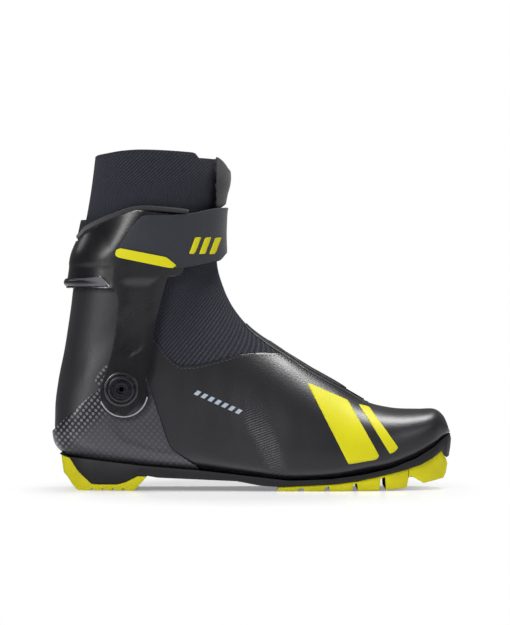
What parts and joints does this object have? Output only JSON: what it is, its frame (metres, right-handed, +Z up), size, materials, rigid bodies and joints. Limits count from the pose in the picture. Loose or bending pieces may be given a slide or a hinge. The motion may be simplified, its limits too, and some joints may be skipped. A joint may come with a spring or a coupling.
{
  "type": "cross-country skating boot",
  "caption": "Cross-country skating boot: soft upper with a zipped instep, carbon heel cup, hinged cuff with side arms and strap, and a lugged binding sole.",
  "frame": {"origin": "on the ground under the middle of the boot", "axes": "+X towards the toe, +Y towards the inner (medial) side, +Z up; a right boot"},
  "size_m": [0.2995, 0.0994, 0.255],
  "materials": {
    "softshell": "smooth coated softshell",
    "knit": "ribbed stretch knit",
    "flap_fabric": "smooth stretch fabric",
    "strap_webbing": "coated strap",
    "lining": "brushed lining",
    "padding": "covered foam",
    "lasting_board": "fibre board",
    "insole_foam": "foam with fabric face",
    "carbon_laminate": "clear-coated carbon laminate",
    "moulded_cuff": "satin moulded composite",
    "grey_inlay": "satin",
    "sole_plastic": "fine texture",
    "yellow_rubber": "matte moulded rubber",
    "yellow_trim": "satin film",
    "steel": "satin",
    "bushing": "smooth",
    "zip_tape": "woven",
    "zip_coil": "smooth",
    "zip_pull": "satin"
  },
  "bodies": {
    "boot": {"outsole_chassis": "sole_plastic", "heel_tread_pad": "yellow_rubber", "forefoot_tread_lateral": "yellow_rubber", "forefoot_tread_medial": "yellow_rubber", "forefoot_tread_center": "yellow_rubber", "toe_tread_block": "yellow_rubber", "toe_bar_insert": "sole_plastic", "toe_bar": "steel", "vamp_softshell": "softshell", "ankle_fabric": "knit", "rear_softshell": "softshell", "bootie_liner": "lining", "lasting_board": "lasting_board", "insole": "insole_foam", "carbon_heel_cup": "carbon_laminate", "pivot_nut_lateral": "steel", "pivot_nut_medial": "steel", "pivot_bushing_lateral": "bushing", "pivot_bushing_medial": "bushing", "pivot_screw_lateral": "sole_plastic", "pivot_screw_medial": "sole_plastic", "instep_placket": "softshell", "zip_tape": "zip_tape", "zip_coil": "zip_coil"},
    "cuff": {"cuff_shell": "moulded_cuff", "cuff_padding": "padding", "cuff_bumper": "moulded_cuff", "inlay_lateral": "grey_inlay", "inlay_medial": "grey_inlay", "collar_fabric": "knit", "collar_lining": "lining", "pivot_ring_lateral": "sole_plastic", "pivot_ring_medial": "sole_plastic", "strap_anchor": "strap_webbing", "strap_catch": "zip_tape"},
    "strap": {"shin_strap": "strap_webbing", "strap_tab": "yellow_trim"},
    "flap": {"collar_flap": "flap_fabric"},
    "slider": {"zip_slider": "steel"},
    "pull": {"zip_pull": "zip_pull"}
  },
  "joints": [
    {"name": "cuff_flex", "type": "hinge", "parent": "boot", "child": "cuff", "pos_m": [-0.0974, 0, 0.0758], "axis": [0, 1, 0], "range_deg": [-5, 18]},
    {"name": "strap_open", "type": "hinge", "parent": "cuff", "child": "strap", "pos_m": [-0.102, -0.0428, 0.178], "axis": [0, 0, -1], "range_deg": [0, 60]},
    {"name": "flap_open", "type": "hinge", "parent": "cuff", "child": "flap", "pos_m": [-0.0508, 0.041, 0.231], "axis": [0, 0, 1], "range_deg": [0, 75]},
    {"name": "zip_slide", "type": "slide", "parent": "boot", "child": "slider", "axis": [0.9038, 0, -0.428], "range_m": [0, 0.03]},
    {"name": "pull_swing", "type": "hinge", "parent": "slider", "child": "pull", "pos_m": [0.00793, 0.01539, 0.1126], "axis": [0.4044, -0.6508, 0.6426], "range_deg": [0, 150]}
  ]
}
